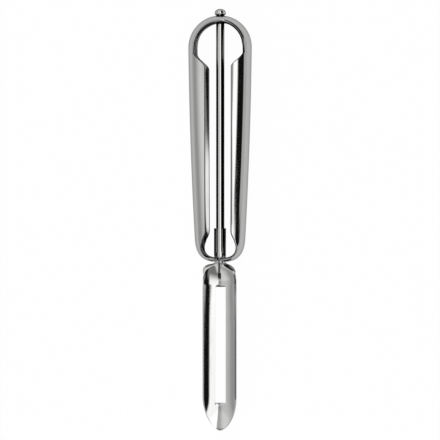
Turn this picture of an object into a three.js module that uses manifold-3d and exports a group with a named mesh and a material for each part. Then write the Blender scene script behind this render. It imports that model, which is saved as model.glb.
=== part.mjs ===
import * as THREE from 'three';
import { mergeVertices } from 'three/addons/utils/BufferGeometryUtils.js';
import Module from 'manifold-3d';

// A swivel peeler of bent sheet steel, lying on its back, in millimetres.
// X runs across it, Y along the rod towards the rod's head, and Z up.

// Handle: one strip of sheet bent into a loop, its edges rolled over to the front and the back
const HANDLE_SHEET = 1.1;
const ROLL_DEPTH = 6;
const ROLL_REACH = 7;
const LOOP_LENGTH = 98.9;
const CROWN_RADIUS = 12.8;
const HEEL_RADIUS = 10.2;
const SIDE_RADIUS = 1750;
const CROWN_BAND = 2.5;
const FOOT_BAND = 2.8;
const HEEL_BAND = 1.1;
const WING_GAP = 10.25;
const WING_TOP_DROP = 21.3;
const WING_TOP_SLOPE = 6.2;
const WING_FOOT_RISE = 12.4;
const WING_FOOT_SLOPE = 5;
const END_GAP = 0.4;
const REST_FLAT_DEPTH = 0.16;

// Rod: round wire with an upset head above the crown
const ROD_DIAMETER = 3.1;
const ROD_END_RISE = 1.6;
const ROD_HOLE_CLEARANCE = 0.3;
const HEAD_DIAMETER = 4.4;
const HEAD_RIM = 0.9;
const HEAD_HEIGHT = 2.3;
const HEAD_CLEARANCE = 0.3;

// Blade: thinner sheet, rolled into a sleeve round the rod, drawn in to a waist in the heel's hole,
// and unrolled below it into a trough with a slot
const BLADE_SHEET = 0.7;
const CRIMP_CLEARANCE = 0.15;
const SLEEVE_RISE = 13.8;
const SLEEVE_SLIT = 2;
const SLEEVE_BACK_GAP = 0.4;
const MOUTH_DIAMETER = 3.3;
const MOUTH_RISE = 2.7;
const TAPER_TOP_RISE = 3.6;
const WAIST_RISE = 1.2;
const WAIST_DIAMETER = 4.4;
const WAIST_CLEARANCE = 0.35;
const SHOULDER_RISE = 0.1;
const SHOULDER_LENGTH = 6;
const SHOULDER_WIDENING = 2.3;
const SHOULDER_SQUARENESS = 3.2;
const SHOULDER_ROLL = 1.3;
const SHOULDER_EDGE_RADIUS = 1.4;
const FLARE_LENGTH = 0.55;
const BLADE_WIDTH = 13.4;
const BLADE_LENGTH = 67.4;
const TROUGH_RADIUS = 9.6;
const TROUGH_DEPTH = 1.7;
const TIP_LENGTH = 13.4;
const TIP_BLUNTNESS = 0.6;
const TIP_WIDTH = 0.5;
const TIP_LIFT = 0.9;
const TIP_FLATNESS = 0.55;
const SLOT_WIDTH = 4.4;
const SLOT_LENGTH = 46.6;
const SLOT_DROP = 9.8;
const SLOT_BEVEL = 0.5;
const PINCH_WIDTH = 0.8;
const PINCH_LENGTH = 4.3;
const PINCH_DEPTH = 0.4;
const DROP_WIDTH = 1.4;
const DROP_LENGTH = 2.9;

// Numbers of facets
const ROLL_FACETS = 14;
const CROWN_FACETS = 10;
const SLOPE_FACETS = 7;
const WING_FACETS = 6;
const HEEL_FACETS = 9;
const ROUND_FACETS = 24;
const BLADE_FACETS = 28;
const TAPER_FACETS = 3;
const SHOULDER_FACETS = 16;
const PINCH_FACETS = 12;
const TIP_FACETS = 12;
const DOME_FACETS = 3;

// Places along the rod's axis, measured up from the outer bottom of the loop
const CROWN_CENTRE = LOOP_LENGTH - CROWN_RADIUS;
const HEEL_CENTRE = HEEL_RADIUS;
const WING_TOP = LOOP_LENGTH - WING_TOP_DROP;
const HEAD_FOOT = LOOP_LENGTH + HEAD_CLEARANCE;
const HEAD_TOP = HEAD_FOOT + HEAD_HEIGHT;
const TIP_END = SHOULDER_RISE - BLADE_LENGTH;
const TIP_TOP = TIP_END + TIP_LENGTH;

const QUARTER_TURN = Math.PI / 2;
const CUT_MARGIN = 5;
const ROW_MARGIN = 0.3;
const { lerp, clamp, smoothstep } = THREE.MathUtils;

const wasm = await Module();
wasm.setup();

// A closed geometry as a solid that can be cut
function solidOf(geometry) {
  const bare = geometry.clone();
  bare.deleteAttribute('normal');
  bare.deleteAttribute('uv');
  const merged = mergeVertices(bare);
  return new wasm.Manifold(new wasm.Mesh({
    numProp: 3,
    vertProperties: new Float32Array(merged.attributes.position.array),
    triVerts: new Uint32Array(merged.index.array),
  }));
}

function geometryOf(solid) {
  const mesh = solid.getMesh();
  const geometry = new THREE.BufferGeometry();
  geometry.setAttribute('position', new THREE.BufferAttribute(mesh.vertProperties, 3));
  geometry.setIndex(new THREE.BufferAttribute(mesh.triVerts, 1));
  geometry.computeVertexNormals();
  return geometry;
}

function cut(geometry, cutters) {
  const whole = solidOf(geometry);
  return geometryOf(cutters.reduce((solid, cutter) => solid.subtract(solidOf(cutter)), whole));
}

function evenSteps(count) {
  return Array.from({ length: count + 1 }, (_, step) => step / count);
}

// A piece of sheet between its outer and inner faces, each a grid of points with rows along the sheet
function sheetBetween(outer, inner) {
  const rowCount = outer.length;
  const columnCount = outer[0].length;
  const points = [...outer.flat(), ...inner.flat()];
  const outerAt = (row, column) => row * columnCount + column;
  const innerAt = (row, column) => outerAt(rowCount + row, column);
  const triangles = [];
  const quad = (a, b, c, d) => triangles.push(a, b, c, a, c, d);
  for (let row = 0; row < rowCount - 1; row++) {
    for (let column = 0; column < columnCount - 1; column++) {
      const next = row + 1;
      const beside = column + 1;
      quad(outerAt(row, column), outerAt(row, beside), outerAt(next, beside), outerAt(next, column));
      quad(innerAt(row, column), innerAt(next, column), innerAt(next, beside), innerAt(row, beside));
    }
  }
  const last = columnCount - 1;
  for (let row = 0; row < rowCount - 1; row++) {
    quad(outerAt(row, 0), outerAt(row + 1, 0), innerAt(row + 1, 0), innerAt(row, 0));
    quad(outerAt(row + 1, last), outerAt(row, last), innerAt(row, last), innerAt(row + 1, last));
  }
  const end = rowCount - 1;
  for (let column = 0; column < last; column++) {
    quad(outerAt(0, column), innerAt(0, column), innerAt(0, column + 1), outerAt(0, column + 1));
    quad(outerAt(end, column + 1), innerAt(end, column + 1), innerAt(end, column), outerAt(end, column));
  }
  const geometry = new THREE.BufferGeometry().setFromPoints(points);
  geometry.setIndex(triangles);
  return geometry;
}

// The arc of the long side, tangent inside to the crown's and the heel's circles
function sideArc() {
  const span = CROWN_CENTRE - HEEL_CENTRE;
  const toCrown = SIDE_RADIUS - CROWN_RADIUS;
  const toHeel = SIDE_RADIUS - HEEL_RADIUS;
  const rise = (toHeel ** 2 - toCrown ** 2 + span ** 2) / (2 * span);
  const centre = new THREE.Vector2(-Math.sqrt(toHeel ** 2 - rise ** 2), HEEL_CENTRE + rise);
  return {
    centre,
    topAngle: Math.asin((CROWN_CENTRE - centre.y) / toCrown),
    footAngle: Math.asin((HEEL_CENTRE - centre.y) / toHeel),
  };
}

// Rows of the strip down the right side, from the crown's top to the heel:
// each a point of the outline and its outward normal
function rightRows() {
  const side = sideArc();
  const row = (centre, radius, angle) => {
    const normal = new THREE.Vector2(Math.cos(angle), Math.sin(angle));
    return { normal, point: normal.clone().multiplyScalar(radius).add(centre) };
  };
  const arcRows = (height, radius, from, to, facets) => evenSteps(facets).map((share) =>
    row(new THREE.Vector2(0, height), radius, lerp(from, to, share)));
  const heelEnd = Math.asin(END_GAP / 2 / HEEL_RADIUS) - QUARTER_TURN;
  const crown = arcRows(CROWN_CENTRE, CROWN_RADIUS, QUARTER_TURN, side.topAngle, CROWN_FACETS);
  const heel = arcRows(HEEL_CENTRE, HEEL_RADIUS, side.footAngle, heelEnd, HEEL_FACETS);
  const sideTop = crown[CROWN_FACETS].point.y - ROW_MARGIN;
  const sideFoot = heel[0].point.y + ROW_MARGIN;
  const heights = [
    ...evenSteps(SLOPE_FACETS).map((share) => WING_TOP + WING_TOP_SLOPE * (1 - share)),
    ...evenSteps(WING_FACETS).slice(1, -1).map((share) => lerp(WING_TOP, WING_FOOT_RISE, share)),
    ...evenSteps(SLOPE_FACETS).map((share) => WING_FOOT_RISE - WING_FOOT_SLOPE * share),
  ];
  const sideRows = heights.filter((height) => height < sideTop && height > sideFoot)
    .map((height) => row(side.centre, SIDE_RADIUS, Math.asin((height - side.centre.y) / SIDE_RADIUS)));
  return [...crown, ...sideRows, ...heel];
}

// How far the rolled edge reaches in from the outline, as seen from the front:
// narrow round the crown, up to a straight edge along the wing, and narrowing again round the heel
function bandWidth(point) {
  const slopeFoot = WING_FOOT_RISE - WING_FOOT_SLOPE;
  const wing = point.x - WING_GAP / 2;
  const upper = lerp(wing, CROWN_BAND, smoothstep(point.y, WING_TOP, WING_TOP + WING_TOP_SLOPE));
  const lower = lerp(HEEL_BAND, FOOT_BAND, clamp(point.y / slopeFoot, 0, 1));
  return lerp(lower, upper, smoothstep(point.y, slopeFoot, WING_FOOT_RISE));
}

// One face of the strip, a depth below the outer one: oval arcs about the roll's axis, from the back edge
// to the front edge of each row
function rollFace(rows, below) {
  return rows.map(({ point, normal, side }) => {
    const edge = Math.acos(1 - bandWidth(point) / ROLL_REACH);
    return evenSteps(ROLL_FACETS).map((share) => {
      const angle = lerp(-edge, edge, share);
      const inset = (ROLL_REACH - below) * Math.cos(angle) - ROLL_REACH;
      const across = point.x + normal.x * inset;
      const level = (ROLL_DEPTH - below) * Math.sin(angle);
      return new THREE.Vector3(side * across, point.y + normal.y * inset, level);
    });
  });
}

function roundCutter(radius, height) {
  const length = 2 * (HANDLE_SHEET + CUT_MARGIN);
  return new THREE.CylinderGeometry(radius, radius, length, ROUND_FACETS).translate(0, height, 0);
}

// The flat that the handle rests on, pressed along the back of both rolled sides
function restCutter() {
  const width = 2 * (CROWN_RADIUS + CUT_MARGIN);
  const length = LOOP_LENGTH + CUT_MARGIN;
  const top = REST_FLAT_DEPTH - ROLL_DEPTH;
  return new THREE.BoxGeometry(width, length, CUT_MARGIN).translate(0, LOOP_LENGTH / 2, top - CUT_MARGIN / 2);
}

function handle() {
  const half = rightRows();
  const right = half.map((row) => ({ ...row, side: 1 }));
  const left = half.slice(1).reverse().map((row) => ({ ...row, side: -1 }));
  const rows = [...left, ...right];
  const strip = sheetBetween(rollFace(rows, 0), rollFace(rows, HANDLE_SHEET));
  return cut(strip, [
    roundCutter(ROD_DIAMETER / 2 + ROD_HOLE_CLEARANCE, LOOP_LENGTH),
    roundCutter(WAIST_DIAMETER / 2 + WAIST_CLEARANCE, 0),
    restCutter(),
  ]);
}

// Rod with a round lower end, and a rim and a dome on its head
function swivelRod() {
  const radius = ROD_DIAMETER / 2;
  const headRadius = HEAD_DIAMETER / 2;
  const profile = new THREE.Path();
  profile.absarc(0, ROD_END_RISE + radius, radius, -QUARTER_TURN, 0, false);
  profile.lineTo(radius, HEAD_FOOT);
  profile.lineTo(headRadius, HEAD_FOOT);
  profile.absellipse(0, HEAD_FOOT + HEAD_RIM, headRadius, HEAD_HEIGHT - HEAD_RIM, 0, QUARTER_TURN, false, 0);
  const points = profile.getPoints(DOME_FACETS);
  points[0].x = 0;
  points[points.length - 1].x = 0;
  return geometryOf(solidOf(new THREE.LatheGeometry(points, ROUND_FACETS)));
}

// The trough at a height: the radius of its arc, which flattens towards the tip, and half the width of its sheet,
// measured along the arc and drawn in to the tip
function troughSection(height) {
  const along = clamp((TIP_TOP - height) / TIP_LENGTH, 0, 1);
  const radius = TROUGH_RADIUS / lerp(1, TIP_FLATNESS, smoothstep(along, 0, 1));
  const taper = Math.max((1 - along ** 2) ** TIP_BLUNTNESS, TIP_WIDTH / BLADE_WIDTH);
  const half = radius * Math.asin(taper * BLADE_WIDTH / 2 / radius);
  return { radius, half, lift: TIP_LIFT * along ** 3 };
}

// The middle of the blade's sheet at a height. The tube above is rolled backwards all across; below, the trough
// takes up more and more of the width from the middle, and the rest stays rolled backwards along its edges.
function bladeSection(height) {
  const sleeve = (ROD_DIAMETER + BLADE_SHEET) / 2 + CRIMP_CLEARANCE;
  const waist = (WAIST_DIAMETER - BLADE_SHEET) / 2;
  const tube = lerp(waist, sleeve, smoothstep(height, WAIST_RISE, TAPER_TOP_RISE));
  const tubeHalf = Math.PI * tube - SLEEVE_BACK_GAP / 2;
  const { radius, half, lift } = troughSection(height);
  const down = Math.max(SHOULDER_RISE - height, 0);
  const opened = 1 - 1 / (1 + (down / SHOULDER_WIDENING) ** SHOULDER_SQUARENESS);
  const rolled = (1 - opened) * tubeHalf;
  const turn = lerp(SHOULDER_ROLL, tubeHalf / tube, Math.exp(-down / FLARE_LENGTH));
  return {
    trough: opened * half,
    troughBend: -1 / radius,
    half: opened * half + rolled,
    rollBend: Math.min(turn / Math.max(rolled, Number.EPSILON), 1 / SHOULDER_EDGE_RADIUS),
    level: lerp(tube, -TROUGH_DEPTH, smoothstep(down, 0, SHOULDER_LENGTH)) + lift,
  };
}

// A step along an arc from a place where it is already turned by some angle
function arcStep(length, bend, start) {
  const turn = bend * length || Number.EPSILON;
  const chord = 2 * length * Math.sin(turn / 2) / turn;
  return { across: chord * Math.cos(start + turn / 2), depth: chord * Math.sin(start + turn / 2), end: start + turn };
}

// Rows of points at an offset in front of the middle of the blade's sheet, across a share of its width
function bladeRows(heights, offset, halfAt, facets) {
  return heights.map((height) => {
    const { trough, troughBend, rollBend, level } = bladeSection(height);
    return evenSteps(facets).map((share) => {
      const along = lerp(-halfAt(height), halfAt(height), share);
      const inner = Math.min(Math.abs(along), trough);
      const middle = arcStep(inner, troughBend, 0);
      const edge = arcStep(Math.abs(along) - inner, rollBend, middle.end);
      const across = middle.across + edge.across + offset * Math.sin(edge.end);
      const depth = middle.depth + edge.depth - offset * Math.cos(edge.end);
      return new THREE.Vector3(Math.sign(along) * across, height, level - depth);
    });
  });
}

function bladeHeights() {
  return [
    SLEEVE_RISE,
    ...evenSteps(TAPER_FACETS).map((share) => lerp(TAPER_TOP_RISE, WAIST_RISE, share)),
    ...evenSteps(SHOULDER_FACETS).map((share) => SHOULDER_RISE - SHOULDER_LENGTH * share ** 2),
    ...evenSteps(TIP_FACETS).map((share) => TIP_TOP - TIP_LENGTH * Math.sin(QUARTER_TURN * share)),
  ];
}

// The slit down the front of the sleeve, and the round mouth that it ends in
function slitCutters() {
  const length = SLEEVE_RISE - MOUTH_RISE + CUT_MARGIN;
  const slit = new THREE.BoxGeometry(SLEEVE_SLIT, length, CUT_MARGIN);
  const mouth = new THREE.CylinderGeometry(MOUTH_DIAMETER / 2, MOUTH_DIAMETER / 2, CUT_MARGIN, ROUND_FACETS);
  return [
    slit.translate(0, MOUTH_RISE + length / 2, CUT_MARGIN / 2),
    mouth.rotateX(QUARTER_TURN).translate(0, MOUTH_RISE, CUT_MARGIN / 2),
  ];
}

// The slot, wider at the back, which leaves its two long edges ground sharp at the front
function slotCutter() {
  const front = SLOT_WIDTH / 2;
  const back = front + SLOT_BEVEL;
  const floor = -TROUGH_DEPTH - BLADE_SHEET / 2;
  const profile = new THREE.Shape();
  profile.moveTo(-front, CUT_MARGIN);
  profile.lineTo(-front, floor + BLADE_SHEET + SLOT_BEVEL);
  profile.lineTo(-back, floor);
  profile.lineTo(-back, floor - CUT_MARGIN);
  profile.lineTo(back, floor - CUT_MARGIN);
  profile.lineTo(back, floor);
  profile.lineTo(front, floor + BLADE_SHEET + SLOT_BEVEL);
  profile.lineTo(front, CUT_MARGIN);
  const prism = new THREE.ExtrudeGeometry(profile, { depth: SLOT_LENGTH, bevelEnabled: false });
  return prism.rotateX(QUARTER_TURN).translate(0, SHOULDER_RISE - SLOT_DROP, 0);
}

// The pinch where the tube opens out: a narrow groove in the front face that ends in a drop
function pinchCutter() {
  const dropTop = SHOULDER_RISE - PINCH_LENGTH;
  const pinchHalf = (height) => {
    const down = clamp((dropTop - height) / DROP_LENGTH, 0, 1);
    const drop = Math.max(DROP_WIDTH / 2 * Math.sqrt(1 - down ** 2), TIP_WIDTH / 2);
    return down > 0 ? drop : PINCH_WIDTH / 2;
  };
  const heights = [
    ...evenSteps(PINCH_FACETS).map((share) => SHOULDER_RISE - PINCH_LENGTH * share),
    ...evenSteps(PINCH_FACETS).slice(1).map((share) => dropTop - DROP_LENGTH * share),
  ];
  const floor = BLADE_SHEET / 2 - PINCH_DEPTH;
  return sheetBetween(
    bladeRows(heights, floor, pinchHalf, 2),
    bladeRows(heights, floor + BLADE_SHEET, pinchHalf, 2),
  );
}

function blade() {
  const heights = bladeHeights();
  const fullHalf = (height) => bladeSection(height).half;
  const sheet = sheetBetween(
    bladeRows(heights, -BLADE_SHEET / 2, fullHalf, BLADE_FACETS),
    bladeRows(heights, BLADE_SHEET / 2, fullHalf, BLADE_FACETS),
  );
  return cut(sheet, [...slitCutters(), slotCutter(), pinchCutter()]);
}

function steelPiece(name, geometry, color, roughness) {
  const material = new THREE.MeshStandardMaterial({ color, roughness, metalness: 1 });
  const piece = new THREE.Mesh(geometry, material);
  piece.name = name;
  return piece;
}

const peeler = new THREE.Group();
peeler.position.set(0, -(HEAD_TOP + TIP_END) / 2, ROLL_DEPTH - REST_FLAT_DEPTH);
peeler.add(steelPiece('handle', handle(), 0xb4b4b2, 0.18));
peeler.add(steelPiece('swivel_rod', swivelRod(), 0xb9b9b7, 0.22));
peeler.add(steelPiece('blade', blade(), 0xc2c2c0, 0.16));

export default peeler;
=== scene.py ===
import math

import bmesh
import bpy
import numpy as np
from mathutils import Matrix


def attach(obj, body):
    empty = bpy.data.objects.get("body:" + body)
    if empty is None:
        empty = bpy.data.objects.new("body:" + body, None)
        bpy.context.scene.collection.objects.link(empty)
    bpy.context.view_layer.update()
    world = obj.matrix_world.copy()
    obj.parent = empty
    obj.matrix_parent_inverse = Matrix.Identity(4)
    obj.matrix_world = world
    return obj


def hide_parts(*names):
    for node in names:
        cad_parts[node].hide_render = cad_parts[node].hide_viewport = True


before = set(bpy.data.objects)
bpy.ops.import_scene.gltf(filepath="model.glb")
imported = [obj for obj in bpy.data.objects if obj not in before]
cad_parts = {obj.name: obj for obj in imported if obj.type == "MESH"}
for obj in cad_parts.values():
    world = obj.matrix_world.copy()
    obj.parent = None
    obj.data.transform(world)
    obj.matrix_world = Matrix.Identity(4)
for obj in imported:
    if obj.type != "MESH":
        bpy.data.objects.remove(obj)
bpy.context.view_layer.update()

# Handle: one strip of bright stainless sheet bent into a long loop, with both of its edges rolled over to
# the front and the back. The rod's head sits on a hole in its crown, and the two ends of the strip leave a
# round notch at the heel, in which the blade's waist turns. Lengths are in millimetres.
MM = 0.001
AXIS_HEIGHT = 5.84
LOOP_FOOT = -17.1
LOOP_LENGTH = 98.9
CROWN_RADIUS = 12.8
CROWN_CENTRE = LOOP_LENGTH - CROWN_RADIUS
SIDE_RADIUS = 1750
HEEL_RADIUS = 10.2
HEEL_SQUARENESS = 0.68
HEEL_CORNER = np.radians([(-78, -50), (-45, -5)])
HANDLE_SHEET = 1.1
ROLL_DEPTH = 6
ROLL_REACH = 7
REST_LEVEL = -AXIS_HEIGHT
CROWN_HOLE_RADIUS = 1.85
HEEL_NOTCH_RADIUS = 2.55
END_GAP = 0.4
CROWN_BAND = 2.5
HEEL_BAND = 1.1
FOOT_BAND = 3.4
FOOT_BAND_POWER = 1.6
WING_GAP = 10.25
WING_TOP = 77.6
WING_TOP_SLOPE = 6.2
WING_FOOT = 12.4
WING_FOOT_SLOPE = 5
# The crown's edge reaches further in at the front and less far at the back, and the back lips are flatter
# inside along their lower half.
FRONT_EDGE_MORE = 0.25
FRONT_EDGE_RISE = (84, 88)
BACK_EDGE_MORE = -0.4
BACK_EDGE_RISE = (86, 95)
LIP_FLATNESS = 0.68
FLAT_LIP = ((9, 13), (28, 42))
HANDLE_EDGE_ROUND = 0.4
HANDLE_EDGE_POWER = 0.8
HANDLE_EDGE_STEPS = 10
HANDLE_COLUMNS = 65
CROWN, SIDE, HEEL = range(3)
CROWN_ROWS = 48
TOP_SLOPE_ROWS = 30
SIDE_ROWS = 40
FOOT_SLOPE_ROWS = 26
HEEL_ROWS = 44
ROW_CLEARANCE = 0.2
WELD_DISTANCE = 1e-8
TINY = 1e-12
# Painted shade and dark reflections in the steel's colour: 0 is bright, and 1 or more is dark. They lie
# inside the loop, along its rims and near the front edge of its right half.
INSIDE_PAINTED_SHADE = 1.25
LIP_PAINTED_SHADE = 1.0
LIGHTER_LIP_PAINTED_SHADE = 0.25
LIGHTER_LIP = ((10.5, 14), (38, 56))
LIP_END = (-0.62, -0.35)
CROWN_PAINTED_SHADE = 0.1
CROWN_INSIDE = (80, 86)
RIM_CHANGE = (-2, 2)
LEFT_RIM_PAINTED_SHADE = 0.2
RIGHT_RIM_PAINTED_SHADE = 1.0
HEEL_RIM_PAINTED_SHADE = 0.3
HEEL_RIM = (8, 13)
CROWN_RIM_LESS_SHADE = 0.3
CROWN_RIM = (82, 87)
RIM_SHARPNESS = 5
LOWER_EDGE_PAINTED_SHADE = 0.75
UPPER_EDGE_PAINTED_SHADE = 0.2
UPPER_EDGE = (46, 60)
SHADED_EDGE = ((13, 17), (82, 86))
SHADED_EDGE_START = (0.95, 0.985)
RIGHT_HALF = (0, 2)
HANDLE_COLOUR = (0.45, 0.45, 0.446)
HANDLE_ROUGHNESS = 0.07
HANDLE_LIMB = 0.5
HANDLE_GRAIN = (9000, 120, 9000)
HANDLE_SMEAR = (150, 60, 150)


def mix(low, high, share):
    """The value that lies a share of the way from low to high."""
    return low + (high - low) * share


def smooth(value, low, high):
    """Rises from 0 at low to 1 at high and is level at both ends: 3 s^2 - 2 s^3 of the clipped share s."""
    share = np.clip((value - low) / (high - low), 0, 1)
    return share * share * (3 - 2 * share)


def stretch(value, rise, fall):
    """Rises smoothly from 0 to 1 over one range of values and falls back to 0 over a later one."""
    return smooth(value, *rise) * (1 - smooth(value, *fall))


def crowded(count):
    """Shares from 0 to 1 that crowd towards both ends, as half a cosine wave."""
    return (1 - np.cos(np.pi * np.linspace(0, 1, count))) / 2


def unit(vectors):
    """Each vector divided by its length, and a vector of no length left as it is."""
    return vectors / np.maximum(np.linalg.norm(vectors, axis=-1, keepdims=True), TINY)


def sheet_faces(front, back, keep, bulge, power, steps, painted_shade, rim_painted_shade):
    """Closes a sheet between two grids of points, of which keep names the cells that exist. Along each free
    edge half an oval runs from the front to the back and stands out from the sheet by the bulge. Its cosine
    and sine are raised to a power under 1, which makes it squarer. The painted shade, a grid for each face,
    goes over from one to the other across that rim, where the rim's own painted shade is added."""
    rows, columns = keep.shape
    count = (rows + 1) * (columns + 1)
    index = np.arange(count).reshape(rows + 1, columns + 1)
    cells = np.stack([index[:-1, :-1], index[:-1, 1:], index[1:, 1:], index[1:, :-1]], -1)[keep]
    middle = (front + back) / 2
    outward = np.zeros_like(middle)
    padded = np.pad(keep, 1)
    starts = []
    ends = []
    # Each side of a cell: the step to the cell beyond it, and the corners at its start and end.
    sides = (
        ((-1, 0), (0, 0), (0, 1)),
        ((0, 1), (0, 1), (1, 1)),
        ((1, 0), (1, 1), (1, 0)),
        ((0, -1), (1, 0), (0, 0)),
    )
    for (down, across), start, end in sides:
        beyond = padded[1 + down:1 + down + rows, 1 + across:1 + across + columns]
        row, column = np.nonzero(keep & ~beyond)
        for (corner_row, corner_column), corners in ((start, starts), (end, ends)):
            at = row + corner_row, column + corner_column
            inside = at[0] - down, at[1] - across
            np.add.at(outward, at, unit(middle[at] - middle[inside]))
            corners.append(index[at])
    starts = np.concatenate(starts)
    ends = np.concatenate(ends)
    angle = np.linspace(0, np.pi, steps + 1)[:, None, None, None]
    through = np.sign(np.cos(angle)) * np.abs(np.cos(angle)) ** power
    proud = bulge * np.sin(angle).clip(0) ** power
    layers = middle + (front - middle) * through + unit(outward) * proud
    level = np.arange(steps)[:, None] * count
    rims = np.stack([ends + level, starts + level, starts + level + count, ends + level + count], -1)
    faces = np.concatenate([cells, rims.reshape(-1, 4), cells[:, ::-1] + steps * count])
    used, faces = np.unique(faces, return_inverse=True)
    shares = np.linspace(0, 1, steps + 1)[:, None, None]
    # The painted shade blends from the front's to the back's across each rim, and the rim's own is added.
    on_rim = np.minimum(RIM_SHARPNESS * np.sin(np.pi * shares), 1)
    painted_shade_layers = mix(painted_shade[0], painted_shade[1], shares) + rim_painted_shade * on_rim
    return layers.reshape(-1, 3)[used], faces.reshape(-1, 4), painted_shade_layers.reshape(-1)[used]


def add_piece(name, material, points, faces, painted_shade):
    """A smooth mesh of points in millimetres from the loop's foot on the rod's axis, which carries the
    painted shade of its points. Its faces are turned round where the volume inside them comes out negative."""
    place = (points + (0, LOOP_FOOT, AXIS_HEIGHT)) * MM
    a, b, c, d = (place[faces[:, corner]] for corner in range(4))
    if (np.cross(b - a, c - a) * a + np.cross(c - a, d - a) * a).sum() < 0:
        faces = faces[:, ::-1]
    mesh = bpy.data.meshes.new(name)
    mesh.from_pydata(place.tolist(), [], faces.tolist())
    # The painted shade and dark reflections of the points, by which the steel darkens its colour.
    mesh.attributes.new("painted_shade", "FLOAT", "POINT").data.foreach_set("value", painted_shade.astype(np.float32))
    joined = bmesh.new()
    joined.from_mesh(mesh)
    bmesh.ops.remove_doubles(joined, verts=joined.verts, dist=WELD_DISTANCE)
    joined.to_mesh(mesh)
    joined.free()
    mesh.polygons.foreach_set("use_smooth", np.ones(len(mesh.polygons), bool))
    mesh.materials.append(material)
    piece = bpy.data.objects.new(name, mesh)
    bpy.context.scene.collection.objects.link(piece)
    return piece


def outline_rows():
    """The path of the strip down the right side: for each row its block, the centre and radius of its arc and
    its angle on it, and then the angles at which the long side meets the crown and the heel. The crown's and
    the heel's circles touch the long side's arc from inside."""
    span = CROWN_CENTRE - HEEL_RADIUS
    to_crown = SIDE_RADIUS - CROWN_RADIUS
    to_heel = SIDE_RADIUS - HEEL_RADIUS
    rise = (to_heel ** 2 - to_crown ** 2 + span ** 2) / (2 * span)
    side = (-math.sqrt(to_heel ** 2 - rise ** 2), HEEL_RADIUS + rise)
    top = math.asin((CROWN_CENTRE - side[1]) / to_crown)
    foot = math.asin((HEEL_RADIUS - side[1]) / to_heel)
    crown = np.linspace(np.pi / 2, top, CROWN_ROWS)
    heel = np.linspace(foot, -np.pi / 2, HEEL_ROWS)
    highest = CROWN_CENTRE + CROWN_RADIUS * math.sin(top) - ROW_CLEARANCE
    lowest = HEEL_RADIUS + HEEL_RADIUS * math.sin(foot) + ROW_CLEARANCE
    heights = np.concatenate([
        np.linspace(WING_TOP + WING_TOP_SLOPE, WING_TOP, TOP_SLOPE_ROWS),
        np.linspace(WING_TOP, WING_FOOT, SIDE_ROWS)[1:-1],
        np.linspace(WING_FOOT, WING_FOOT - WING_FOOT_SLOPE, FOOT_SLOPE_ROWS),
    ])
    heights = heights[(heights < highest) & (heights > lowest)]
    angles = np.concatenate([crown, np.arcsin((heights - side[1]) / SIDE_RADIUS), heel])
    block = np.repeat([CROWN, SIDE, HEEL], [len(crown), len(heights), len(heel)])
    centres = np.array([(0, CROWN_CENTRE), side, (0, HEEL_RADIUS)])[block]
    radii = np.array([CROWN_RADIUS, SIDE_RADIUS, HEEL_RADIUS])[block]
    return block[:, None], centres, radii[:, None], angles[:, None], (top, foot)


def band_width(x, y):
    """How far the rolled edge reaches in from the outline: narrow round the crown, up to a straight edge
    along the wing, and narrowing as a power of the height round the heel, with smooth slopes between."""
    slope_foot = WING_FOOT - WING_FOOT_SLOPE
    upper = mix(x - WING_GAP / 2, CROWN_BAND, smooth(y, WING_TOP, WING_TOP + WING_TOP_SLOPE))
    lower = mix(HEEL_BAND, FOOT_BAND, np.clip(y / slope_foot, 0, 1) ** FOOT_BAND_POWER)
    return mix(lower, upper, smooth(y, slope_foot, WING_FOOT))


def strip_places():
    """Places across the strip, from -1 at its back edge to 1 at its front edge and crowded towards both."""
    return 2 * crowded(HANDLE_COLUMNS) - 1


def roll_face(below):
    """One face of the right half of the strip, a depth below the outer one, and which of its columns the
    crown's hole cuts. Across the strip runs an oval arc about the roll's axis, as far round as the edge
    reaches in. On an inner face the sine of the back lip's arc is raised to a power under 1, which flattens
    the lip. Along the strip run the arcs of the outline, from the crown's hole to the heel's notch, and the
    heel's radius grows smoothly towards its corner."""
    block, centres, radii, angles, (top, foot) = outline_rows()
    centre_x, centre_y = centres[:, :1], centres[:, 1:]
    height = centre_y + radii * np.sin(angles)
    across = strip_places()
    more_front = FRONT_EDGE_MORE * smooth(height, *FRONT_EDGE_RISE)
    more_back = BACK_EDGE_MORE * smooth(height, *BACK_EDGE_RISE)
    band = band_width(centre_x + radii * np.cos(angles), height)
    band = band + np.where(across > 0, more_front, more_back)
    turn = (np.arccos(1 - band / ROLL_REACH) - HANDLE_EDGE_ROUND / ROLL_DEPTH) * across
    flatness = mix(1, LIP_FLATNESS, stretch(height, *FLAT_LIP) * (below > 0))
    sine = np.where(turn < 0, -np.abs(np.sin(turn)) ** flatness, np.sin(turn))
    level = (ROLL_DEPTH - below) * sine
    reach = radii + ((ROLL_REACH - below) * np.cos(turn) - ROLL_REACH)
    hole = np.sqrt(np.maximum((CROWN_HOLE_RADIUS + HANDLE_EDGE_ROUND) ** 2 - level[0] ** 2, 0))
    notch = np.sqrt(np.maximum((HEEL_NOTCH_RADIUS + HANDLE_EDGE_ROUND) ** 2 - level[-1] ** 2, 0))
    start = np.arccos(hole / reach[0])
    end = -np.arccos(np.maximum(notch, END_GAP / 2 + HANDLE_EDGE_ROUND) / reach[-1])
    crown_share = (np.pi / 2 - angles) / (np.pi / 2 - top)
    heel_share = (foot - angles) / (foot + np.pi / 2)
    along = np.where(block == CROWN, mix(start, top, crown_share), angles)
    along = np.where(block == HEEL, mix(foot, end, heel_share), along)
    reach = reach + HEEL_SQUARENESS * stretch(along, *HEEL_CORNER) * (block == HEEL)
    x = centre_x + reach * np.cos(along)
    y = centre_y + reach * np.sin(along)
    return np.stack([x, y, np.maximum(level, REST_LEVEL)], -1), hole > 0


def whole_loop(half):
    """The right half's rows with their mirror image before them, from one end of the strip to the other."""
    return np.concatenate([half[::-1] * (-1, 1, 1), half])


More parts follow.
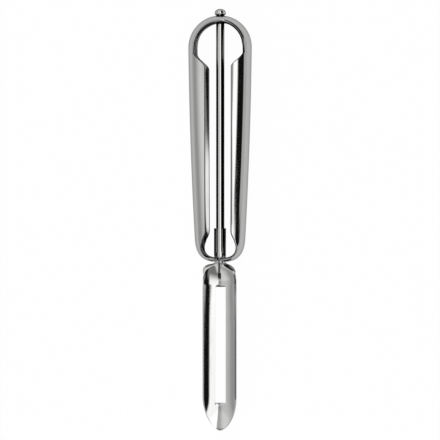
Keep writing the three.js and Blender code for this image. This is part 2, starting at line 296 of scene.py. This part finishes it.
class Wire:
    """An output of a shader node, or a tree's start without one. Arithmetic on wires adds Math nodes."""

    def __init__(self, tree, socket=None):
        self.tree = tree
        self.socket = socket

    def node(self, kind, inputs, output=0, **settings):
        """Adds a node to the wire's tree, sets and feeds it, and returns one of its outputs as a wire."""
        made = self.tree.nodes.new(kind)
        for name, value in settings.items():
            setattr(made, name, value)
        for name, value in inputs.items():
            if isinstance(value, Wire):
                self.tree.links.new(value.socket, made.inputs[name])
            else:
                made.inputs[name].default_value = value
        return Wire(self.tree, made.outputs[output] if made.outputs else None)

    def maths(self, operation, first, second=0.0):
        """A Math node of one or two values."""
        return self.node("ShaderNodeMath", {0: first, 1: second}, operation=operation)

    def __add__(self, other):
        return self.maths("ADD", self, other)

    def __sub__(self, other):
        return self.maths("SUBTRACT", self, other)

    def __rsub__(self, other):
        return self.maths("SUBTRACT", other, self)

    def __mul__(self, other):
        return self.maths("MULTIPLY", self, other)

    __radd__ = __add__
    __rmul__ = __mul__

    def ramp(self, low, high, start=0.0, end=1.0):
        """Smoothly from start to end as this wire goes from low to high."""
        limits = {"Value": self, "From Min": low, "From Max": high, "To Min": start, "To Max": end}
        return self.node("ShaderNodeMapRange", limits, interpolation_type="SMOOTHSTEP")

    def noise(self, waves, detail, roughness):
        """Noise over this wire's coordinates, with a number of waves per metre along each axis."""
        scaled = self.node("ShaderNodeVectorMath", {0: self, 1: waves}, operation="MULTIPLY")
        feeds = {"Vector": scaled, "Scale": 1.0, "Detail": detail, "Roughness": roughness}
        return self.node("ShaderNodeTexNoise", feeds, output="Fac")


# The polish that the three pieces share: fine buffing lines and faint handling marks, with painted shade and
# dark reflections on top. A noise is its detail and how rough it is.
LINE_NOISE = (3.0, 0.5)
LINE_MIDDLE = 0.5
LINE_SHADE = 0.06
LINE_ROUGHNESS = 0.03
LINE_HEIGHT = 0.000004
LINE_STRENGTH = 0.03
MARK_NOISE = (4.0, 0.6)
MARK_RANGE = (0.45, 0.75)
MARK_SHADE = 0.05
MARK_ROUGHNESS = 0.05
# How much the painted shade and dark reflections darken the colour, and how much roughness they add.
PAINTED_SHADE_DEPTH = 0.8
PAINTED_SHADE_ROUGHNESS = 0.06


def steel(name, colour, roughness, limb, grain, smear):
    """Polished stainless. The limb is what it keeps of its shine at a glancing angle, the grain is the waves
    per metre of the buffing lines along each axis, and the smear those of the handling marks. Marks and
    the painted shade and dark reflections that the mesh carries darken the colour by a share and add to the
    roughness, and lines move both up and down."""
    material = bpy.data.materials.new(name)
    material.use_nodes = True
    material.node_tree.nodes.clear()
    start = Wire(material.node_tree)
    place = start.node("ShaderNodeTexCoord", {}, output="Object")
    lines = place.noise(grain, *LINE_NOISE) - LINE_MIDDLE
    marks = place.noise(smear, *MARK_NOISE).ramp(*MARK_RANGE)
    # Painted shade and dark reflections, read from the mesh, darken the colour and roughen the steel.
    painted_shade_map = start.node("ShaderNodeAttribute", {}, output="Fac", attribute_name="painted_shade")
    rough = roughness + MARK_ROUGHNESS * marks + LINE_ROUGHNESS * lines + PAINTED_SHADE_ROUGHNESS * painted_shade_map
    tone = (1.0 - MARK_SHADE * marks + LINE_SHADE * lines) * (1.0 - PAINTED_SHADE_DEPTH * painted_shade_map)
    tint = start.node("ShaderNodeVectorMath", {0: colour, "Scale": tone}, operation="SCALE")
    relief = {"Height": lines, "Strength": LINE_STRENGTH, "Distance": LINE_HEIGHT}
    bump = start.node("ShaderNodeBump", relief, output="Normal")
    surface = start.node("ShaderNodeBsdfPrincipled", {
        "Base Color": tint, "Metallic": 1.0, "Roughness": rough, "Normal": bump,
        "Specular Tint": (limb, limb, limb, 1.0),
    })
    start.node("ShaderNodeOutputMaterial", {"Surface": surface})
    return material


outer_half, over_hole = roll_face(0)
inner_half, under_hole = roll_face(HANDLE_SHEET)
outer_face = whole_loop(outer_half)
inner_face = whole_loop(inner_half)
open_column = over_hole | under_hole
handle_cells = np.ones((len(outer_face) - 1, HANDLE_COLUMNS - 1), bool)
handle_cells[len(outer_half) - 1] = ~(open_column[1:] | open_column[:-1])

# Painted shade and dark reflections on the handle: the inner face, lighter along its back lip and at the
# crown, the rims, darker on the right, and the outer face near the front edge of its right half.
strip_x, strip_y = inner_face[..., 0], inner_face[..., 1]
inside_painted_shade = mix(LIP_PAINTED_SHADE, LIGHTER_LIP_PAINTED_SHADE, stretch(strip_y, *LIGHTER_LIP))
inside_painted_shade = mix(inside_painted_shade, CROWN_PAINTED_SHADE, smooth(strip_y, *CROWN_INSIDE))
inside_painted_shade = mix(inside_painted_shade, INSIDE_PAINTED_SHADE, smooth(strip_places(), *LIP_END))
right_rim = smooth(strip_x, *RIM_CHANGE) * (1 - CROWN_RIM_LESS_SHADE * smooth(strip_y, *CROWN_RIM))
handle_rim_painted_shade = mix(LEFT_RIM_PAINTED_SHADE, RIGHT_RIM_PAINTED_SHADE, right_rim)
handle_rim_painted_shade = mix(HEEL_RIM_PAINTED_SHADE, handle_rim_painted_shade, smooth(strip_y, *HEEL_RIM))
right_edge = smooth(strip_places(), *SHADED_EDGE_START) * smooth(strip_x, *RIGHT_HALF)
edge_painted_shade = mix(LOWER_EDGE_PAINTED_SHADE, UPPER_EDGE_PAINTED_SHADE, smooth(strip_y, *UPPER_EDGE))
edge_painted_shade = edge_painted_shade * right_edge * stretch(strip_y, *SHADED_EDGE)

handle_steel = steel(
    "handle_steel", HANDLE_COLOUR, HANDLE_ROUGHNESS, HANDLE_LIMB, HANDLE_GRAIN, HANDLE_SMEAR)
handle_rim = HANDLE_EDGE_ROUND, HANDLE_EDGE_POWER, HANDLE_EDGE_STEPS
handle_sheet = sheet_faces(
    outer_face, inner_face, handle_cells, *handle_rim, (edge_painted_shade, inside_painted_shade), handle_rim_painted_shade)
handle = add_piece("handle_loop", handle_steel, *handle_sheet)
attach(handle, "handle")
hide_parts("handle")

# Rod: bright drawn stainless wire that hangs through the crown's hole by an upset, domed head. Its round
# lower end is crimped into the blade's sleeve, so rod and blade turn as one.
ROD_RADIUS = 1.65
ROD_END = 1.1
ROD_END_HEIGHT = 1.5
ROD_OFFSET = 0.1
HEAD_FOOT = 99.2
HEAD_RADIUS = 2.2
HEAD_RIM = 0.9
HEAD_HEIGHT = 2.3
HEAD_EDGE_ROUND = 0.25
HEAD_CREASE = 0.05
ROD_FACETS = 96
ROD_ROWS = 40
ROUND_ROWS = 13
ROD_COLOUR = (0.45, 0.45, 0.446)
ROD_ROUGHNESS = 0.06
ROD_LIMB = 0.0
ROD_GRAIN = (14000, 60, 14000)
ROD_SMEAR = (200, 40, 200)


def arc(centre, radii, angles):
    """Points of an ellipse about a centre at some angles."""
    return np.stack([centre[0] + radii[0] * np.cos(angles), centre[1] + radii[1] * np.sin(angles)], -1)


def turned_faces(profile, facets):
    """A profile of radii and heights turned about the Y axis into a closed body without painted shade."""
    angle = np.linspace(0, 2 * np.pi, facets, endpoint=False)
    radius = profile[:, :1]
    rings = np.stack([radius * np.sin(angle), profile[:, 1:] + 0 * angle, radius * np.cos(angle)], -1)
    index = np.arange(rings.size // 3).reshape(rings.shape[:2])
    beside = np.roll(index, -1, axis=1)
    cells = np.stack([index[:-1], beside[:-1], beside[1:], index[1:]], -1)
    return rings.reshape(-1, 3), cells.reshape(-1, 4), np.zeros(index.size)


quarter = np.linspace(-np.pi / 2, 0, ROUND_ROWS)
wire_foot = ROD_END + ROD_END_HEIGHT
wire_heights = np.linspace(wire_foot, HEAD_FOOT, ROD_ROWS + 2)[1:-1]
rim_centre = HEAD_RADIUS - HEAD_EDGE_ROUND, HEAD_FOOT + HEAD_EDGE_ROUND
rod_profile = np.concatenate([
    arc((0, wire_foot), (ROD_RADIUS, ROD_END_HEIGHT), quarter),
    np.stack([np.full(ROD_ROWS, ROD_RADIUS), wire_heights], -1),
    [(ROD_RADIUS, HEAD_FOOT), (ROD_RADIUS + HEAD_CREASE, HEAD_FOOT)],
    arc(rim_centre, (HEAD_EDGE_ROUND, HEAD_EDGE_ROUND), quarter),
    arc((0, HEAD_FOOT + HEAD_RIM), (HEAD_RADIUS, HEAD_HEIGHT - HEAD_RIM), quarter + np.pi / 2),
])
rod_steel = steel("rod_steel", ROD_COLOUR, ROD_ROUGHNESS, ROD_LIMB, ROD_GRAIN, ROD_SMEAR)
rod_points, rod_cells, rod_painted_shade = turned_faces(rod_profile, ROD_FACETS)
rod = add_piece("swivel_wire", rod_steel, rod_points + (ROD_OFFSET, 0, 0), rod_cells, rod_painted_shade)
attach(rod, "swivel")
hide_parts("swivel_rod")

# Blade: thinner stainless sheet. Its upper end is split and rolled backwards into a sleeve round the rod, the
# split is pinched shut in the heel's notch and ends in a small drop, and below the shoulders the sheet opens
# into a trough whose long slot has a cutting edge on each side.
BLADE_SHEET = 0.7
BLADE_EDGE_ROUND = 0.06
BLADE_EDGE_POWER = 0.4
BLADE_EDGE_STEPS = 8
BLADE_EDGE_LEAN = 0.1
LEFT_EDGE_OUT = 0.03
RIGHT_EDGE_IN = 0.2
SLEEVE_TOP = 13.8
SLEEVE_RADIUS = 2.05
SLIT_HALF = 1.0
WIDEST_SLIT = 0.98
BACK_GAP = 0.4
WAIST_RADIUS = 1.85
WAIST_RISE = 1.2
TAPER_TOP = 3.6
MOUTH_TOP = 4.3
MOUTH_RISE = 2.7
MOUTH_RADIUS = 1.65
SHOULDER_TOP = 0.1
SHOULDER_LENGTH = 6
SHOULDER_FALL = 9
SHOULDER_FALL_START = 0.04
SHOULDER_EASE = 2.2
SHOULDER_WIDENING = 2.3
SHOULDER_SQUARENESS = 3.0
SHOULDER_ROLL = 1.3
SHOULDER_EDGE_RADIUS = 0.55
SHOULDER_SKEW = 0.5
SKEW_REACH = 2
SKEWED = ((-7, -3.4), (-1.6, SHOULDER_TOP))
FLARE_LENGTH = 0.65
FLARE_POWER = 1.5
BLADE_WIDTH = 13.4
TROUGH_RADIUS = 9.6
TROUGH_DEPTH = 1.7
TIP_END = -67.3
TIP_LENGTH = 13.4
TIP_TOP = TIP_END + TIP_LENGTH
TIP_BLUNTNESS = 0.6
TIP_WIDTH = 0.5
TIP_LIFT = 0.9
TIP_CURL = 0.5
TIP_CURL_LENGTH = 1.3
TIP_FLATNESS = 0.55
SLOT_TOP = -9.7
SLOT_FOOT = -56.3
SLOT_HALF = 2.2
SLOT_BEVEL = 0.5
SLOT_LIP = 1.0
FOOT_LIP = 0.8
FOOT_LIP_SHARE = 0.7
FOOT_LIP_END = (-0.2, 0.3)
PINCH_HALF = 0.46
PINCH_DEPTH = 0.28
DROP_TOP = -4.2
DROP_FOOT = -7.1
DROP_NECK = 0.5
DROP_HALF = 0.7
DROP_TAPER = 0.85
DROP_DEPTH = 0.4
DROP_SHIFT = -0.35
DROP_SHIFTED = ((SLOT_TOP + 0.3, DROP_FOOT), (-3.5, -0.5))
PINCH_END = (DROP_TOP - 0.2, DROP_TOP + 0.3)
DROP_HOLLOW = ((DROP_FOOT, DROP_FOOT + 1.0), (DROP_TOP - 0.3, DROP_TOP + 0.1))
# The grid: columns of the side strips and the middle strip, and rows from the sleeve down to the tip.
SIDE_COLUMNS = 29
MIDDLE_COLUMNS = 25
MIDDLE_IN_TIP = 0.4
MIDDLE_MOST = 0.9
SLEEVE_ROWS = 16
MOUTH_ROWS = 40
PINCH_ROWS = 10
SHOULDER_ROWS = 90
SHOULDER_ROW_POWER = 1.5
NECK_ROWS = 20
SLOT_ROWS = 48
TIP_ROWS = 50
ROW_MATCH = 0.01
# Painted shade and dark reflections in the blade's colour: in the pinch, the drop and the slot's ends, at the
# tip, in the crease of the rolled shoulder, along the right rim below the shoulder, and on the back above the
# shoulders, inside the sleeve.
GROOVE_PAINTED_SHADE = 1.2
TIP_PAINTED_SHADE = 0.8
SHADED_TIP = (TIP_END + 0.3, TIP_END + 1.2)
CREASE_PAINTED_SHADE = 1.2
CREASE_ALONG = ((-3.2, -2.4), (-0.8, -0.2))
CREASE_ACROSS = ((0.12, 0.3), (0.5, 0.75))
CREASE_LEAST_ROLL = 0.2
SHADED_RIM_ALONG = ((-15, -9), (-3.0, -2.4))
SHADED_RIM_ACROSS = (0.9, 0.95)
SLEEVE_SHADE_START = (SHOULDER_TOP - 1, SHOULDER_TOP)
BLADE_COLOUR = (0.46, 0.46, 0.456)
BLADE_ROUGHNESS = 0.07
BLADE_LIMB = 0.0
BLADE_GRAIN = (9000, 200, 9000)
BLADE_SMEAR = (220, 90, 220)


def trough_section(height):
    """The trough's sheet at each height: the radius of its arc, which flattens towards the tip, half its
    width along the arc, which falls to the tip as a blunt power of a quarter circle, and its lift there,
    which ends in a small curl back."""
    along = np.clip((TIP_TOP - height) / TIP_LENGTH, 0, 1)
    radius = TROUGH_RADIUS / mix(1, TIP_FLATNESS, smooth(along, 0, 1))
    taper = np.maximum((1 - along ** 2) ** TIP_BLUNTNESS, TIP_WIDTH / BLADE_WIDTH)
    curl = TIP_CURL * np.clip((TIP_END + TIP_CURL_LENGTH - height) / TIP_CURL_LENGTH, 0, 1) ** 2
    return radius, radius * np.arcsin(taper * BLADE_WIDTH / 2 / radius), TIP_LIFT * along ** 3 - curl


def tube_radius(height):
    """The rolled tube's radius, which widens smoothly from the waist to the sleeve."""
    return mix(WAIST_RADIUS, SLEEVE_RADIUS, smooth(height, WAIST_RISE, TAPER_TOP))


def blade_section(height):
    """The middle of the sheet at each height: half the width and the bend of the trough, half the whole
    width, the bend of the edges rolled backwards beyond the trough, and the level of the centre line. The
    tube is rolled all across. Below it the trough takes up more and more of the width from the middle, and
    the centre line falls from the tube's front to the trough's floor, slowly at both ends."""
    tube = tube_radius(height)
    tube_half = np.pi * tube - BACK_GAP / 2
    radius, trough_half, lift = trough_section(height)
    down = np.maximum(SHOULDER_TOP - height, 0)
    opened = 1 - 1 / (1 + (down / SHOULDER_WIDENING) ** SHOULDER_SQUARENESS)
    rolled = (1 - opened) * tube_half
    turn = mix(SHOULDER_ROLL, tube_half / tube, np.exp(-(down / FLARE_LENGTH) ** FLARE_POWER))
    roll_bend = np.minimum(turn / np.maximum(rolled, TINY), 1 / SHOULDER_EDGE_RADIUS)
    share = np.minimum(down / SHOULDER_FALL, 1)
    started = share * share / (share + SHOULDER_FALL_START) * (1 + SHOULDER_FALL_START)
    fall = 1 - (1 - np.minimum(started, 1)) ** SHOULDER_EASE
    level = mix(tube, -TROUGH_DEPTH, fall) + lift
    return opened * trough_half, -1 / radius, opened * trough_half + rolled, roll_bend, level


def middle_half(height):
    """Half the width of the middle strip of the grid, which is the slit, the round mouth, the pinch, the
    drop and the slot in turn, and narrows with the tip below them."""
    tube = tube_radius(height)
    mouth = np.sqrt(np.maximum((MOUTH_RADIUS + BLADE_EDGE_ROUND) ** 2 - (height - MOUTH_RISE) ** 2, 0))
    slit = np.where(height > MOUTH_RISE, np.maximum(mouth, SLIT_HALF + BLADE_EDGE_ROUND), mouth)
    upper = tube * np.arcsin(np.minimum(slit / tube, WIDEST_SLIT))
    down = np.clip((DROP_TOP - height) / (DROP_TOP - DROP_FOOT), 0, 1)
    drop = mix(DROP_HALF, PINCH_HALF, smooth(height, DROP_TOP, DROP_TOP + DROP_NECK))
    drop = drop * np.sqrt(1 - DROP_TAPER * down ** 3)
    slot = np.minimum(SLOT_HALF + BLADE_EDGE_ROUND, trough_section(height)[1] * MIDDLE_IN_TIP)
    lower = mix(slot, drop, smooth(height, SLOT_TOP, DROP_FOOT))
    return np.maximum(upper, np.where(height > SHOULDER_TOP, PINCH_HALF, lower))


def blade_columns(height, bevel, lean):
    """Places across the sheet: a side strip, the middle strip, which is widened by the bevel along the slot
    and stands a little to the left at the drop, and a side strip. The outer edges lean in by a little."""
    half = (blade_section(height)[2] - BLADE_EDGE_ROUND)[:, None]
    at_slot = (height < SLOT_TOP + ROW_MATCH) & (height > SLOT_FOOT - ROW_MATCH)
    inner = np.minimum((middle_half(height) + bevel * at_slot)[:, None], half * MIDDLE_MOST)
    centre = DROP_SHIFT * stretch(height, *DROP_SHIFTED)[:, None]
    side = crowded(SIDE_COLUMNS)
    left = mix(lean - LEFT_EDGE_OUT - half, centre - inner, side)
    middle = centre + inner * np.linspace(-1, 1, MIDDLE_COLUMNS)[1:-1]
    right = mix(centre + inner, half - RIGHT_EDGE_IN - lean / 2, side)
    return np.concatenate([left, middle, right], 1)


def arc_step(length, bend, start):
    """A step along an arc that is turned by some angle where it starts: how far across, how deep, and the
    angle where it ends. The chord is the length times the sine of half the turn over half the turn."""
    half_turn = bend * length / 2
    chord = length * np.sinc(half_turn / np.pi)
    return chord * np.cos(start + half_turn), chord * np.sin(start + half_turn), start + 2 * half_turn


def blade_face(height, offset, along):
    """Points at an offset in front of the middle of the sheet: a place along the section's two arcs, and the
    offset square to it. The left shoulder stands a little higher than the right one, as a tanh of the place
    across."""
    trough, trough_bend, _, roll_bend, level = (part[:, None] for part in blade_section(height))
    inner = np.minimum(np.abs(along), trough)
    across, depth, turn = arc_step(inner, trough_bend, 0)
    more_across, more_depth, turn = arc_step(np.abs(along) - inner, roll_bend, turn)
    x = np.sign(along) * (across + more_across + offset * np.sin(turn))
    z = level - depth - more_depth + offset * np.cos(turn)
    y = height[:, None] - SHOULDER_SKEW * stretch(height, *SKEWED)[:, None] * np.tanh(x / SKEW_REACH)
    return np.stack([x, y, z], -1)


mouth_foot = MOUTH_RISE - math.sqrt((MOUTH_RADIUS + BLADE_EDGE_ROUND) ** 2 - PINCH_HALF ** 2)
shoulder_foot = SHOULDER_TOP - SHOULDER_LENGTH
tip_run = TIP_END + BLADE_EDGE_ROUND - SLOT_FOOT
heights = np.unique(np.concatenate([
    np.linspace(SLEEVE_TOP - BLADE_EDGE_ROUND, MOUTH_TOP, SLEEVE_ROWS),
    mix(MOUTH_TOP, mouth_foot, crowded(MOUTH_ROWS)),
    np.linspace(mouth_foot, SHOULDER_TOP, PINCH_ROWS),
    SHOULDER_TOP - SHOULDER_LENGTH * np.linspace(0, 1, SHOULDER_ROWS) ** SHOULDER_ROW_POWER,
    np.linspace(shoulder_foot, SLOT_TOP, NECK_ROWS),
    np.linspace(SLOT_TOP, SLOT_FOOT, SLOT_ROWS),
    SLOT_FOOT + tip_run * np.sin(np.linspace(0, np.pi / 2, TIP_ROWS)),
]))[::-1]
row = heights[:, None]
strip = np.linspace(-1, 1, MIDDLE_COLUMNS)
in_pinch = smooth(row, *PINCH_END) * (row < mouth_foot + ROW_MATCH)
in_drop = stretch(row, *DROP_HOLLOW)
at_lip = (1 - smooth(row, SLOT_TOP, SLOT_TOP + SLOT_LIP)) * (row > SLOT_TOP - ROW_MATCH)
at_foot = FOOT_LIP_SHARE * smooth(row, SLOT_FOOT - FOOT_LIP, SLOT_FOOT) * (row < SLOT_FOOT + ROW_MATCH)
groove = np.zeros((len(heights), 2 * SIDE_COLUMNS + MIDDLE_COLUMNS - 2))
groove[:, SIDE_COLUMNS - 1:SIDE_COLUMNS + MIDDLE_COLUMNS - 1] = (
    PINCH_DEPTH * in_pinch * np.sin(np.pi * strip) ** 2
    + DROP_DEPTH * in_drop * (1 - strip ** 4)
    + DROP_DEPTH * at_lip * (1 - strip ** 2)
    + DROP_DEPTH * at_foot * (1 - smooth(strip, *FOOT_LIP_END)))
front_columns = blade_columns(heights, 0, BLADE_EDGE_LEAN)
back_columns = blade_columns(heights, SLOT_BEVEL, 0)
blade_front = blade_face(heights, BLADE_SHEET / 2 - groove, front_columns)
blade_back = blade_face(heights, -BLADE_SHEET / 2 + 0 * groove, back_columns)
between = (heights[1:] + heights[:-1]) / 2
in_gap = (between > mouth_foot) | ((between < SLOT_TOP) & (between > SLOT_FOOT))
blade_cells = np.ones((len(heights) - 1, groove.shape[1] - 1), bool)
blade_cells[:, SIDE_COLUMNS - 1:SIDE_COLUMNS + MIDDLE_COLUMNS - 2] = ~in_gap[:, None]

# Painted shade and dark reflections on the blade: the front in its grooves, at the tip, in the shoulder's
# crease and along its right rim, and the back above the shoulders.
trough_edge, _, sheet_edge, _, _ = (part[:, None] for part in blade_section(heights))
rolled_share = (front_columns - trough_edge) / np.maximum(sheet_edge - trough_edge, CREASE_LEAST_ROLL)
crease_painted_shade = CREASE_PAINTED_SHADE * stretch(row, *CREASE_ALONG) * stretch(rolled_share, *CREASE_ACROSS)
blade_right_shade = stretch(row, *SHADED_RIM_ALONG) * smooth(front_columns / sheet_edge, *SHADED_RIM_ACROSS)
tip_painted_shade = TIP_PAINTED_SHADE * (1 - smooth(row, *SHADED_TIP))
front_painted_shade = GROOVE_PAINTED_SHADE * groove / DROP_DEPTH + tip_painted_shade + crease_painted_shade + blade_right_shade
back_painted_shade = smooth(row, *SLEEVE_SHADE_START) + 0 * groove

blade_steel = steel("blade_steel", BLADE_COLOUR, BLADE_ROUGHNESS, BLADE_LIMB, BLADE_GRAIN, BLADE_SMEAR)
blade_rim = BLADE_EDGE_ROUND, BLADE_EDGE_POWER, BLADE_EDGE_STEPS
blade_sheet = sheet_faces(blade_front, blade_back, blade_cells, *blade_rim, (front_painted_shade, back_painted_shade), 0)
blade = add_piece("trough_blade", blade_steel, *blade_sheet)
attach(blade, "swivel")
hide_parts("blade")

# Studio: a plain white floor that the peeler lies on, white to the camera and in the steel, and that keeps a
# faint shadow.
FLOOR_HALF = 2.0
FLOOR_COLOUR = (0.9, 0.9, 0.9, 1.0)
FLOOR_WHITE = 0.97
WHITE = (1.0, 1.0, 1.0, 1.0)
floor_mesh = bpy.data.meshes.new("floor")
floor_corners = np.array([(-1, -1, 0), (1, -1, 0), (1, 1, 0), (-1, 1, 0)]) * FLOOR_HALF
floor_mesh.from_pydata(floor_corners.tolist(), [], [(0, 1, 2, 3)])
floor = bpy.data.objects.new("floor", floor_mesh)
bpy.context.scene.collection.objects.link(floor)
floor_material = bpy.data.materials.new("floor")
floor_material.use_nodes = True
floor_material.node_tree.nodes.clear()
floor_start = Wire(floor_material.node_tree)
seen, mirrored, through = (
    floor_start.node("ShaderNodeLightPath", {}, output=path)
    for path in ("Is Camera Ray", "Is Glossy Ray", "Is Transmission Ray"))
shown = floor_start.maths("MAXIMUM", floor_start.maths("MAXIMUM", seen, mirrored), through)
lit = floor_start.node("ShaderNodeBsdfDiffuse", {"Color": FLOOR_COLOUR}, output="BSDF")
glow = floor_start.node("ShaderNodeEmission", {"Color": WHITE, "Strength": 1.0}, output="Emission")
floor_shader = floor_start.node("ShaderNodeMixShader", {0: shown * FLOOR_WHITE, 1: lit, 2: glow})
floor_start.node("ShaderNodeOutputMaterial", {"Surface": floor_shader})
floor_mesh.materials.append(floor_material)

# Light: a soft white panel overhead, a dark flag on its right and pale walls all round. A direction's bearing
# is its angle from the zenith towards the right, and its lean that towards the rod's head, both in degrees.
# Four numbers are a ramp: two angles, and the values at and beyond them.
WALL_LEVEL = 0.82
LEFT_WALL = (-93, -62, WALL_LEVEL, 0.54)
LEFT_CARD = (-71, -24, 0.0, 0.76)
LEFT_CARD_FOOT = (-5, -2, 0.68, 1.0)
LEFT_CARD_END = (-20, -10, 0.32, 0.0)
LEFT_SHIFT = (-4.5, -2, 9, 0)
PANEL_GAP = (-20, -3, 0.0, 0.55)
PANEL_START = (-0.5, 2.5)
PANEL_LEVEL = (-38, -8, -0.4, 1.5)
PANEL_END = 27.5
PANEL_SLANT = 0.5
PANEL_END_STEP = (-3.9, -0.7, 16.5, 0)
PANEL_END_LEAST = 20.0
PANEL_END_MOST = 47.0
PANEL_END_BLUR = (-5, 5)
FLAG_LEVEL = 0.01
FLAG_GLOW = (-30, -12, 0.4, 0)
FLAG_GLOW_END = (52, 62, 1, 0)
FLAG_END = (-4, -2.3, 80, 66)
FLAG_END_HEAD = (18, 30, 0, 10)
FLAG_END_TIP = (-18, -9, -8, 0)
FLAG_END_BLUR = (-3, 3)
world = bpy.data.worlds.new("studio")
bpy.context.scene.world = world
world.use_nodes = True
world.node_tree.nodes.clear()
sky_start = Wire(world.node_tree)
ray = sky_start.node("ShaderNodeTexCoord", {}, output="Generated")
ray_x, ray_y, ray_z = (
    sky_start.node("ShaderNodeSeparateXYZ", {"Vector": ray}, output=axis) for axis in "XYZ")
bearing = sky_start.maths("ARCTAN2", ray_x, ray_z) * math.degrees(1)
lean = sky_start.maths("ARCSINE", ray_y) * math.degrees(1)
leftward = bearing + lean.ramp(*LEFT_SHIFT)
left_card = leftward.ramp(*LEFT_CARD) * (lean.ramp(*LEFT_CARD_FOOT) + lean.ramp(*LEFT_CARD_END))
panel = bearing.ramp(*PANEL_START) * lean.ramp(*PANEL_LEVEL)
panel_end = PANEL_END - PANEL_SLANT * lean + lean.ramp(*PANEL_END_STEP)
panel_end = sky_start.maths("MAXIMUM", panel_end, PANEL_END_LEAST)
panel_end = sky_start.maths("MINIMUM", panel_end, PANEL_END_MOST)
flag = FLAG_LEVEL + lean.ramp(*FLAG_GLOW) * bearing.ramp(*FLAG_GLOW_END)
flag_end = lean.ramp(*FLAG_END) + lean.ramp(*FLAG_END_HEAD) + lean.ramp(*FLAG_END_TIP)
shade = leftward.ramp(*LEFT_WALL) + left_card - bearing.ramp(*PANEL_GAP) + panel
shade = mix(shade, flag, (bearing - panel_end).ramp(*PANEL_END_BLUR))
shade = mix(shade, WALL_LEVEL, (bearing - flag_end).ramp(*FLAG_END_BLUR))
seen_sky = sky_start.node("ShaderNodeLightPath", {}, output="Is Camera Ray")
strength = mix(shade, 1.0, seen_sky)
sky = sky_start.node("ShaderNodeBackground", {"Color": WHITE, "Strength": strength})
sky_start.node("ShaderNodeOutputWorld", {"Surface": sky})

# Camera: almost straight above the peeler as it lies, a little to its right, and far enough off for its
# sides to look nearly parallel.
CAMERA_TURN = math.radians(9)
CAMERA_DISTANCE = 0.6
VIEW_WIDTH = 0.176
SENSOR_WIDTH = 36.0
lens = bpy.data.cameras.new("camera")
lens.sensor_width = SENSOR_WIDTH
lens.lens = SENSOR_WIDTH * CAMERA_DISTANCE / VIEW_WIDTH
camera = bpy.data.objects.new("camera", lens)
camera.location = (
    CAMERA_DISTANCE * math.sin(CAMERA_TURN), 0, AXIS_HEIGHT * MM + CAMERA_DISTANCE * math.cos(CAMERA_TURN))
camera.rotation_euler = (0, CAMERA_TURN, 0)
bpy.context.scene.collection.objects.link(camera)
bpy.context.scene.camera = camera
bpy.context.scene.view_settings.view_transform = "Standard"
